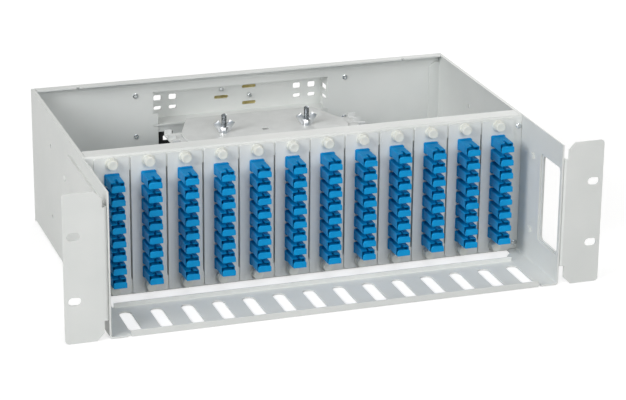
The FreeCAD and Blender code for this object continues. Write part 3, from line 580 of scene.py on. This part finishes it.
# %% Sections of a coupler
COUPLER_WIDTH, COUPLER_HEIGHT, SLEEVE_CUT = 12.2, 8.4, 0.5
PORT_WIDTH, PORT_ROOF, PORT_FLOOR = 11.2, 2.9, -3.4
KEY_HALF, KEY_LENGTH = 1.25, 8.5
MIRROR = np.array([-1, 1, 1])


def block_ring(width_mm, height_mm, corner_mm, at_mm):
    """A rectangle with cut corners at one depth."""
    half, top = width_mm / 2, height_mm / 2
    quarter = np.array([(half, top - corner_mm), (half - corner_mm, top)])
    ring = np.concatenate([
        quarter, quarter[::-1] * (-1, 1), quarter * (-1, -1), quarter[::-1] * (1, -1),
    ])
    return np.column_stack([ring[:, 0], np.full(len(ring), at_mm), ring[:, 1]]) * MM


def slotted_ring(draw_in_mm, at_mm, back_mm=0.0):
    """The C section: outside from the slot to the lower corner, mirrored, then the inside of the port."""
    half, top = COUPLER_WIDTH / 2 - draw_in_mm, COUPLER_HEIGHT / 2 - draw_in_mm
    port, cut, back = PORT_WIDTH / 2, SLEEVE_CUT, at_mm + back_mm
    outside = np.array([
        (KEY_HALF, back, top), (half - cut, at_mm, top), (half, at_mm, top - cut),
        (half, at_mm, cut - top), (half - cut, at_mm, -top),
    ])
    inside = np.array([(-KEY_HALF, back, PORT_ROOF), (-port, back, PORT_ROOF), (-port, at_mm, PORT_FLOOR)])
    return np.concatenate([outside, outside[::-1] * MIRROR, inside, inside[::-1] * MIRROR]) * MM


print("points of the C section:", len(slotted_ring(0.0, 0.0)))

# %% [markdown]
# ## Rows of couplers
#
# The sections are stacked from the rear to the front. The couplers stand in twelve columns, one on the
# middle of each plate, and eight rows that share the height of the CAD couplers. All couplers are one mesh
# of copies for each skin, which is lighter to handle than ninety-six objects.

# %% Mould the couplers
COUPLER_ROWS = 8
COLLAR_WIDE, COLLAR_TALL, COLLAR_CUT, COLLAR_LENGTH = 13.2, 10.4, 0.8, 2.2
COLLAR_EASE, COLLAR_EASE_LENGTH = 0.6, 0.4
RIM_BACK, RIM_EASE, RIM_EASE_LENGTH = 1.2, 0.2, 0.25
front = (coupler_low.y - plate_front) / MM
rear = (coupler_high.y - plate_front) / MM
sleeve = (COUPLER_WIDTH, COUPLER_HEIGHT, SLEEVE_CUT)
collar = (COLLAR_WIDE, COLLAR_TALL, COLLAR_CUT)
eased_collar = (COLLAR_WIDE - COLLAR_EASE, COLLAR_TALL - COLLAR_EASE, COLLAR_CUT)
rear_skin = np.array([
    block_ring(*sleeve, rear),
    block_ring(*sleeve, 0.0),
    block_ring(*collar, 0.0),
    block_ring(*collar, COLLAR_EASE_LENGTH - COLLAR_LENGTH),
    block_ring(*eased_collar, -COLLAR_LENGTH),
    block_ring(*sleeve, -COLLAR_LENGTH),
    block_ring(*sleeve, front + KEY_LENGTH),
])
front_skin = np.array([
    slotted_ring(0.0, front + KEY_LENGTH),
    slotted_ring(0.0, front + RIM_EASE_LENGTH, RIM_BACK),
    slotted_ring(RIM_EASE, front, RIM_BACK),
])
half_coupler = COUPLER_HEIGHT / 2 * MM
row_zs = np.linspace(coupler_low.z + half_coupler, coupler_high.z - half_coupler, COUPLER_ROWS)
coupler_places = [(middle(name)[0], plate_front, z) for name in plate_names for z in row_zs]
couplers = skin_piece("couplers_moulded", rear_skin, coupler_places, "adapter_blue", smooth_deg=25)
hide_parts("sc_adapters")
skin_piece("coupler_fronts", front_skin, coupler_places, "adapter_blue", smooth_deg=25)
print("couplers:", len(coupler_places))

# %% [markdown]
# ## Dust caps
#
# A dust cap has a wide flat head to pull by, with round upper corners. Behind it a plug runs into the
# port. The head stands a little off the coupler, so a dark gap shows along its side and its top. Head and
# plug could be two bevelled blocks. As rounded rectangles with the same number of points they are one
# closed skin, with the plug drawn in towards its end.

# %% Mould the dust caps
HEAD_WIDTH, HEAD_HEIGHT, CAP_DROP = 12.0, 5.6, 1.0
# One radius for each corner of the head, the two upper ones first.
HEAD_CORNERS = np.array([[1.6], [1.6], [0.5], [0.5]])
FACE_EASE, FACE_EASE_LENGTH, FACE_EASE_CORNER = 0.7, 0.35, 0.2
PLUG_WIDTH, PLUG_HEIGHT, PLUG_CORNER, PLUG_DRAW, NECK = 8.4, 4.4, 0.4, 2.0, 2.4


def cap_ring(width_mm, height_mm, corner_mm, at_mm):
    """A rounded rectangle at one depth. The corner is one radius, or one for each of the four corners."""
    across, up = rounded(width_mm, height_mm, corner_mm, steps=2).T
    return np.column_stack([across, np.full(len(across), at_mm * MM), up - CAP_DROP * MM])


cap_front, plug_rear = ((corner.y - plate_front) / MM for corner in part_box("dust_caps"))
head = (HEAD_WIDTH, HEAD_HEIGHT, HEAD_CORNERS)
eased_head = (HEAD_WIDTH - FACE_EASE, HEAD_HEIGHT - FACE_EASE, HEAD_CORNERS - FACE_EASE_CORNER)
cap_skin = np.array([
    cap_ring(PLUG_WIDTH - PLUG_DRAW, PLUG_HEIGHT - PLUG_DRAW, PLUG_CORNER, plug_rear),
    cap_ring(PLUG_WIDTH, PLUG_HEIGHT, PLUG_CORNER, front - NECK),
    cap_ring(*head, front - NECK),
    cap_ring(*head, cap_front + FACE_EASE_LENGTH),
    cap_ring(*eased_head, cap_front),
])
caps = skin_piece("dust_caps_moulded", cap_skin, coupler_places, "cap_blue", smooth_deg=30)
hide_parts("dust_caps")
print("dust caps:", len(coupler_places))

# %% [markdown]
# ## Cross-head screws
#
# Four cross-head screws hold the front frame to the box, one near each corner. A screw is a turned form,
# but two of its rings are pulled into a cross, whose radius follows four petals, and sink into the head.
# At this size a soft cross of petals reads the same as a sharp one, and it needs no cutting.

# %% Turn the frame screws
SCREW_RADIUS, SCREW_CROWN, SCREW_HEIGHT, SCREW_SINK = 2.75, 1.9, 1.1, 0.5
POST_INSET, POST_HEIGHTS = 2.9, (54.6, -58.0)
CROSS_POINTS, CROSS_CORE, CROSS_PETAL = 32, 0.7, 1.1


def cross_screw(radius, height):
    """Rings over a low dome, then a cross: radius = core + petal times cos(2 angle) to the fourth power."""
    # Radius and height, minus out of the sheet: foot, side, shoulder and crown, then the recess.
    dome = [(radius, 0.3), (radius, -0.3 * height), (radius * 0.86, -0.8 * height), (SCREW_CROWN, -height)]
    recess = [(1.0, -0.98 * height), (0.8, SCREW_SINK), (POLE, SCREW_SINK)]
    stack = turned(dome + recess, CROSS_POINTS, "y")
    angle = np.linspace(0, 2 * np.pi, CROSS_POINTS, endpoint=False)
    petals = (CROSS_CORE + CROSS_PETAL * np.cos(2 * angle) ** 4) * MM
    for ring, share in ((4, 1.0), (5, 0.8)):
        stack[ring, :, 0] = petals * share * np.sin(angle)
        stack[ring, :, 2] = petals * share * np.cos(angle)
    return stack


frame_low, frame_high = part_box("front_frame")
post_x = frame_high.x - POST_INSET * MM
post_places = [(way * post_x, frame_low.y, z * MM) for way in (-1, 1) for z in POST_HEIGHTS]
post_screw = cross_screw(SCREW_RADIUS, SCREW_HEIGHT)
skin_piece("post_screws", post_screw, post_places, "zinc_plate", smooth_deg=SOFT_TURN)
print("frame screws:", len(post_places))

# %% [markdown]
# ## Rivets
#
# Blind rivets hold the cable bracket to the rear wall. Outside, a rivet shows a low dome with a hole where
# its mandrel broke off. Inside the box, its upset tail is narrower and taller. Both are turned, because one
# profile gives the dome and the hole together.

# %% Set the rivets
SHEET = 1.5
RIVET_REACH, RIVET_HEIGHTS = 104.4, (48.7, 8.2)
# Radius and height, minus out of the sheet: the foot, the dome, its crater and the mandrel's hole.
RIVET_HEAD = [
    (3.1, 0.3), (3.0, -0.15), (2.4, -0.65), (1.4, -0.9), (1.05, -0.75), (1.0, 1.2), (POLE, 1.2),
]
RIVET_TAIL = [(2.6, 0.3), (2.5, -0.9), (1.9, -1.3), (1.2, -1.1), (1.1, 1.0), (POLE, 1.2)]
rear_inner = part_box("rear_wall")[1].y - SHEET * MM
tail_places = [(way * RIVET_REACH * MM, rear_inner, z * MM) for way in (-1, 1) for z in RIVET_HEIGHTS]
head_places = [(x, rear_inner + 2 * SHEET * MM, z) for x, _, z in tail_places]
tail = turned(RIVET_TAIL, SMALL_ROUND, "y")
outward_head = turned(RIVET_HEAD, SMALL_ROUND, "y") * (1, -1, 1)
skin_piece("bracket_rivet_tails", tail, tail_places, "zinc_plate", smooth_deg=SOFT_TURN)
skin_piece("bracket_rivets", outward_head, head_places, "zinc_plate", smooth_deg=SOFT_TURN)
print("rivets:", len(tail_places))

# %% [markdown]
# ## Ear bolts
#
# Four bolts hold each rack ear. They have low domed heads under the same coat as the sheet, so a dome is
# all that catches the light. The CAD bolts stand in the corners of their node's box, and the points in each
# quarter of the box give one place. That way the turned bolts follow the CAD when a size changes.

# %% Turn the ear bolts
# Radius and height from the top of the head: the dome, its underside and the shank.
BOLT_PROFILE = [
    (POLE, 0.0), (1.5, -0.08), (2.4, -0.45), (2.9, -1.0), (3.0, -1.8),
    (1.5, -1.8), (1.5, -5.2), (POLE, -5.2),
]


def solid_centres(node):
    """Centre of the four solids of a node that stand in the corners of its box."""
    half_way = middle(node)[1]
    spot = edge_ends(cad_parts[node].data)[0]
    centres = []
    for depthwise in (spot[:, 1] > half_way, spot[:, 1] < half_way):
        for upright in (spot[:, 2] > 0, spot[:, 2] < 0):
            own = spot[depthwise & upright]
            centres.append((own.min(axis=0) + own.max(axis=0)) / 2)
    return np.array(centres)


for node, way in (("ear_bolts_left", -1), ("ear_bolts_right", 1)):
    low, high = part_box(node)
    places = solid_centres(node)
    places[:, 0] = low.x if way < 0 else high.x
    bolt = turned(BOLT_PROFILE, SMALL_ROUND, "x") * (way, 1, 1)
    bolts = skin_piece(f"{node}_domed", bolt, places, "powder_coat", smooth_deg=SOFT_TURN)
    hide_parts(node)
    print(node, "bolts:", len(places))

# %% [markdown]
# ## Threaded studs
#
# The cassette stands on two threaded studs. A thread is a ring whose radius swings up and down along the
# height, and shifts by one pitch in each turn. The stud is a grid of height and angle, with that swing
# as its radius. Blender's Screw modifier could wind a thread too, but here the tapered tip comes with it.

# %% Cut the studs' threads
STUD_WIDTH, STUD_PITCH, THREAD_DEPTH = 5.0, 0.8, 0.35
RINGS_PER_PITCH, STUD_POINTS = 6, 20
TIP_LENGTH, TIP_SHARE = 0.8, 0.55


def threaded(low_mm, high_mm):
    """Radius = half width minus depth times a triangle wave of height over pitch plus turn."""
    rings = int((high_mm - low_mm) / STUD_PITCH * RINGS_PER_PITCH) + 1
    height = np.linspace(low_mm, high_mm, rings)[:, None]
    angle = np.linspace(0, 2 * np.pi, STUD_POINTS, endpoint=False)
    wave = abs(2 * ((height / STUD_PITCH + angle / (2 * np.pi)) % 1) - 1)
    taper = np.clip((high_mm - height) / TIP_LENGTH, TIP_SHARE, 1)
    radius = (STUD_WIDTH / 2 - THREAD_DEPTH * wave) * taper
    up = np.repeat(height, STUD_POINTS, axis=1)
    return np.stack([radius * np.cos(angle), radius * np.sin(angle), up], axis=-1) * MM


stud_low, stud_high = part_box("cassette_studs")
stud_y = middle("cassette_studs")[1]
stud_xs = (stud_low.x + STUD_WIDTH / 2 * MM, stud_high.x - STUD_WIDTH / 2 * MM)
stud = threaded(stud_low.z / MM, stud_high.z / MM)
studs = skin_piece("studs_threaded", stud, [(x, stud_y, 0) for x in stud_xs], "zinc_plate")
studs.data.materials[0] = rod_zinc
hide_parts("cassette_studs")
print("stud faces:", len(studs.data.polygons))

# %% [markdown]
# ## Clamp screws
#
# A screw holds each cable clamp behind the bracket. It is a plain turned form: a pointed shank and a head
# with an eased edge. Two cylinders would do as well, but they would leave a hidden face between them.

# %% Turn the clamp screws
SHANK_RADIUS, SHANK_POINT = 2.0, 0.5
CLAMP_HEAD_RADIUS, CLAMP_HEAD_TOP, CLAMP_HEAD_TALL, CLAMP_HEAD_EASE = 4.0, 3.2, 3.0, 1.0
screw_low, screw_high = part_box("clamp_screws")
screw_length = (screw_high.y - screw_low.y) / MM
under_head = screw_length - CLAMP_HEAD_TALL
screw_profile = [
    (POLE, 0.0), (SHANK_RADIUS - SHANK_POINT, 0.0), (SHANK_RADIUS, SHANK_POINT), (SHANK_RADIUS, under_head),
    (CLAMP_HEAD_RADIUS, under_head), (CLAMP_HEAD_RADIUS, screw_length - CLAMP_HEAD_EASE),
    (CLAMP_HEAD_TOP, screw_length), (POLE, screw_length),
]
screw_places = [(middle(clamp)[0], screw_low.y, middle(clamp)[2]) for clamp in CLAMPS]
clamp_screw = turned(screw_profile, SMALL_ROUND, "y")
screws = skin_piece("clamp_screws_turned", clamp_screw, screw_places, "zinc_plate")
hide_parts("clamp_screws")
print("clamp screws:", len(screw_places))

# %% [markdown]
# ## Wing nuts
#
# A wing nut is a small tapered hub with two flat blades that lean outwards. The blade is a rounded
# rectangle carried along a straight path from the hub up and out, and drawn in at its end, so its lean
# and its taper are a few numbers. The hub is turned, with a bore for the stud. The pieces of one nut ride
# on the nut's own body.

# %% Cast the wing nuts
BLADE_WIDE, BLADE_THICK, BLADE_EDGE = 6.0, 2.0, 0.25
BLADE_ROOT = np.array([2.3, 0, 1.6])
TIP_INSET, TIP_DROP = 2.3, 1.4
# Radius and height: the bore, the foot, the taper and the eased top.
HUB_PROFILE = [(2.7, 0.0), (4.4, 0.0), (4.4, 0.8), (3.7, 5.4), (3.4, 5.7), (2.7, 5.7), (2.7, 0.0)]


def wing_blade(way, reach_mm, rise_mm):
    """A section times a size, set across the path from root to tip at five shares of its length."""
    # A slimmer root inside the hub, three full sections, and the end that is drawn in.
    share = np.array([0.0, 0.25, 0.6, 0.95, 1.0])
    size = np.array([0.8, 1.0, 1.0, 1.0, 0.85])
    section = rounded(BLADE_WIDE, BLADE_THICK, BLADE_EDGE, steps=2)
    root = BLADE_ROOT * MM
    run = np.array([reach_mm - TIP_INSET, 0, rise_mm - TIP_DROP]) * MM - root
    path = root + share[:, None] * run
    lean = run / np.linalg.norm(run)
    side = np.array([lean[2], 0, -lean[0]])
    outline = section[:, :1] * side + section[:, 1:] * np.array([0, 1, 0])
    return (path[:, None, :] + size[:, None, None] * outline) * (way, 1, 1)


def wing_nut(node, x):
    """The hub and its two blades, which end about where the CAD nut's box ends."""
    low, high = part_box(node)
    base = (x, stud_y, low.z)
    hub = skin_piece(f"{node}_cast", turned(HUB_PROFILE, ROUND, "z"), [base], "zinc_plate", node)
    hub.data.materials[0] = cast_zinc
    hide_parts(node)
    reach, rise = (high.x - low.x) / 2 / MM, (high.z - low.z) / MM
    for label, way in (("left", -1), ("right", 1)):
        form = wing_blade(way, reach, rise)
        blade = skin_piece(f"{node}_blade_{label}", form, [base], "zinc_plate", node, SOFT_TURN)
        blade.data.materials[0] = cast_zinc


wing_nut_names = ("wing_nut_left", "wing_nut_right")
for node, x in zip(wing_nut_names, stud_xs):
    wing_nut(node, x)
print("wing nuts:", len(wing_nut_names))

# %% [markdown]
# ## Distance sleeves
#
# The two sleeves under the cassette are plain nylon tubes on the studs. A cylinder would need a hole cut
# through it. A profile that goes up the outside and down the bore, turned once, is a tube at once.

# %% Turn the sleeves
SLEEVE_BORE = 2.8
sleeve_low, sleeve_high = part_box("stud_sleeves")
sleeve_edge = (sleeve_high.y - sleeve_low.y) / 2 / MM
sleeve_tall = (sleeve_high.z - sleeve_low.z) / MM
tube = [
    (SLEEVE_BORE, 0.0), (sleeve_edge, 0.0), (sleeve_edge, sleeve_tall), (SLEEVE_BORE, sleeve_tall),
    (SLEEVE_BORE, 0.0),
]
tube_places = [(x, stud_y, sleeve_low.z) for x in stud_xs]
tubes = skin_piece("stud_sleeves_turned", turned(tube, ROUND, "z"), tube_places, "sleeve_plastic")
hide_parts("stud_sleeves")
print("sleeves:", len(tube_places))

# %% [markdown]
# ## Floor
#
# The photograph was taken in a white studio. A pale floor under the panel keeps its soft shadow. To the
# camera and in reflections the floor also glows, more with the distance, until it meets the white world
# without a horizon. The glow reaches no other surface as light, so the panel keeps its own tones.

# %% Lay the floor
FLOOR_HALF, FLOOR_GAP = 12.0, 0.5 * MM


def floor_glow(tree, place):
    """One for camera and glossy rays and nought for others, times a level that rises with the distance."""
    seen = add(tree, "ShaderNodeLightPath")
    either = add(
        tree, "ShaderNodeMath",
        [(0, seen.outputs["Is Camera Ray"]), (1, seen.outputs["Is Glossy Ray"])], operation="MAXIMUM",
    )
    away = add(tree, "ShaderNodeVectorMath", [(0, place)], operation="LENGTH")
    rise = add(
        tree, "ShaderNodeMapRange", [("Value", away.outputs["Value"])],
        from_min=0.6, from_max=3.0, to_min=0.66, to_max=0.95,
    )
    glow = add(
        tree, "ShaderNodeMath", [(0, either.outputs[0]), (1, rise.outputs["Result"])], operation="MULTIPLY",
    )
    return glow.outputs[0]


def pale_floor():
    """A large square just under the panel, painted in a faint broad mottle."""
    mesh = bpy.data.meshes.new("floor")
    square = np.array([(-1, -1, 0), (1, -1, 0), (1, 1, 0), (-1, 1, 0)]) * FLOOR_HALF
    mesh.from_pydata(square + (0, 0, cad_box[0][2] - FLOOR_GAP), [], [(0, 1, 2, 3)])
    floor = bpy.data.objects.new("floor", mesh)
    bpy.context.scene.collection.objects.link(floor)
    material, tree, shader, place = new_material("studio_floor_white")
    mottle(tree, shader, place, size_mm=400.0, dark="#b4b4b4", light="#bababa", detail=2.0)
    shader.inputs["Roughness"].default_value = 0.9
    shader.inputs["Emission Color"].default_value = (1, 1, 1, 1)
    tree.links.new(floor_glow(tree, place), shader.inputs["Emission Strength"])
    floor.data.materials.append(material)


pale_floor()
print("floor half width:", FLOOR_HALF, "m")

# %% [markdown]
# ## Sky and lamps
#
# The world is white to the camera and weak as a light. Four large soft lamps do the rest: one in front
# and one on the left for the faces in the picture, one above for the open box, and one behind so that
# the back doesn't lie in the dark. All of them point at the panel.

# %% Light the panel
LAMP_AIM = Vector((0, 0.1, 0))


def white_sky():
    """Strength 1.05 for camera rays, so that it is plain white, and 0.22 for all others."""
    world = bpy.data.worlds.new("studio_white")
    bpy.context.scene.world = world
    world.use_nodes = True
    tree = world.node_tree
    sky = tree.nodes["Background"]
    sky.inputs["Color"].default_value = linear("#f9f8f4")
    seen = add(tree, "ShaderNodeLightPath")
    level = add(
        tree, "ShaderNodeMapRange", [("Value", seen.outputs["Is Camera Ray"])], to_min=0.22, to_max=1.05,
    )
    tree.links.new(level.outputs["Result"], sky.inputs["Strength"])


def soft_lamp(name, place, power, size):
    """A round area lamp of this power in watts and width in metres, turned to the panel."""
    light = bpy.data.lights.new(name, "AREA")
    light.shape = "DISK"
    light.size = size
    light.energy = power
    lamp = bpy.data.objects.new(name, light)
    bpy.context.scene.collection.objects.link(lamp)
    lamp.location = place
    lamp.rotation_euler = (LAMP_AIM - Vector(place)).to_track_quat("-Z", "Y").to_euler()


white_sky()
soft_lamp("front_lamp", (0.3, -2.5, 1.05), power=24.0, size=1.2)
soft_lamp("left_lamp", (-2.1, -1.0, 1.25), power=40.0, size=1.3)
soft_lamp("top_lamp", (0.0, -0.6, 2.4), power=12.0, size=2.0)
soft_lamp("rear_lamp", (1.4, 2.2, 1.2), power=26.0, size=1.6)
print("lamps:", len(bpy.data.lights))

# %% [markdown]
# ## Camera
#
# The camera stands where the picture was taken from: left of the middle, a little above, and far away
# with a long lens, which keeps the ears nearly parallel. It could be aimed by hand in the viewport. Three
# angles, a target and a distance say the same in numbers that can be read and changed.

# %% Camera
AZIMUTH, ELEVATION, ROLL = math.radians(-18.71), math.radians(20.07), math.radians(0.55)
TARGET = Vector((7.35, 100.0, 0.15)) * MM
DISTANCE = 2057.6 * MM
FOCAL, SENSOR, FAR_CLIP = 133.2, 36.0, 50.0


def photo_camera():
    """Camera axes from the three angles: back points to the eye, right is level, roll turns the frame."""
    back = Vector((
        math.sin(AZIMUTH) * math.cos(ELEVATION),
        -math.cos(AZIMUTH) * math.cos(ELEVATION),
        math.sin(ELEVATION),
    ))
    level = Vector((math.cos(AZIMUTH), math.sin(AZIMUTH), 0))
    over = back.cross(level)
    right = math.cos(ROLL) * level + math.sin(ROLL) * over
    up = math.cos(ROLL) * over - math.sin(ROLL) * level
    turn = Matrix((right, up, back)).transposed()
    data = bpy.data.cameras.new("photo_camera")
    data.sensor_fit = "HORIZONTAL"
    data.sensor_width = SENSOR
    data.lens = FOCAL
    data.clip_end = FAR_CLIP
    camera = bpy.data.objects.new("photo_camera", data)
    bpy.context.scene.collection.objects.link(camera)
    camera.matrix_world = Matrix.Translation(TARGET + back * DISTANCE) @ turn.to_4x4()
    bpy.context.scene.camera = camera


photo_camera()
bpy.context.scene.view_settings.view_transform = "Standard"
print("camera distance:", round(DISTANCE, 3), "m")
